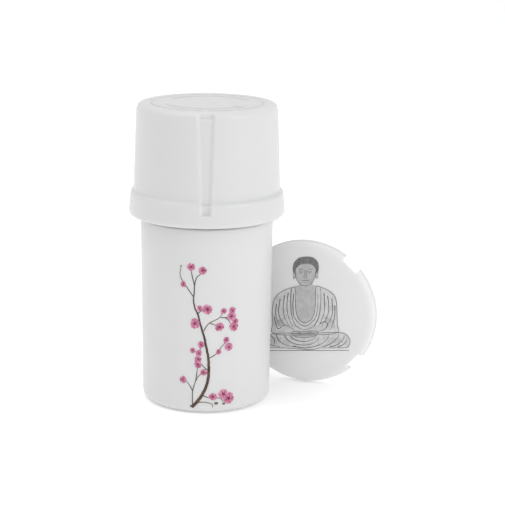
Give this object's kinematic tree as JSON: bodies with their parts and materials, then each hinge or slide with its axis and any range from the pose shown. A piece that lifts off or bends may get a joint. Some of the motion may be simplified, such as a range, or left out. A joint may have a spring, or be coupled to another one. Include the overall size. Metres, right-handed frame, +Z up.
{
  "type": "pill crusher",
  "caption": "Push-and-turn storage vial with a rotary pill crusher inside its screw cap, and a separate notched picture cover standing beside it.",
  "frame": {"origin": "centre of the vial's base, on the surface it stands on", "axes": "+Z up along the vial's axis, -Y towards the viewer at the front grip channel, +X towards the picture cover"},
  "size_m": [0.088, 0.054, 0.1042],
  "materials": {
    "vial_white": "satin moulded polypropylene with a printed twig",
    "cap_white": "satin moulded polypropylene",
    "inner_white": "moulded polypropylene",
    "soft_seal": "soft moulded elastomer",
    "spring_acetal": "moulded acetal",
    "cover_white": "satin moulded polypropylene with a printed picture"
  },
  "bodies": {
    "vial": {"container": "vial_white"},
    "lift": {"seal_ring": "soft_seal"},
    "collar": {"threaded_collar": "inner_white", "rotor_seal": "soft_seal"},
    "rotor": {"upper_crusher": "inner_white", "wave_spring": "spring_acetal"},
    "cap": {"outer_cap": "cap_white", "retaining_ring": "inner_white"},
    "crusher_cup": {"lower_crusher": "inner_white"},
    "cover": {"picture_cover": "cover_white"}
  },
  "joints": [
    {"name": "cap_lift", "type": "slide", "parent": "vial", "child": "lift", "axis": [0, 0, 1], "range_m": [0, 0.012]},
    {"name": "cap_unscrew", "type": "hinge", "parent": "lift", "child": "collar", "pos_m": [0, 0, 0.077], "axis": [0, 0, 1], "range_deg": [0, 1080]},
    {"name": "crusher_turn", "type": "hinge", "parent": "collar", "child": "rotor", "pos_m": [0, 0, 0.0935], "axis": [0, 0, 1], "continuous": true},
    {"name": "cap_press", "type": "slide", "parent": "rotor", "child": "cap", "axis": [0, 0, -1], "range_m": [0, 0.0012], "stiffness_N_per_m": 8000, "springref_m": -0.0005, "deforming": ["wave_spring"]},
    {"name": "lower_crusher_pull", "type": "slide", "parent": "collar", "child": "crusher_cup", "axis": [0, 0, -1], "range_m": [0, 0.014]},
    {"name": "picture_cover_slide", "type": "slide", "parent": "vial", "child": "cover", "axis": [0.9397, -0.342, 0], "range_m": [0, 0.06]}
  ],
  "couplings": [
    {"joint": "cap_lift", "follows": "cap_unscrew", "m_per_rad": 0.0006366}
  ]
}
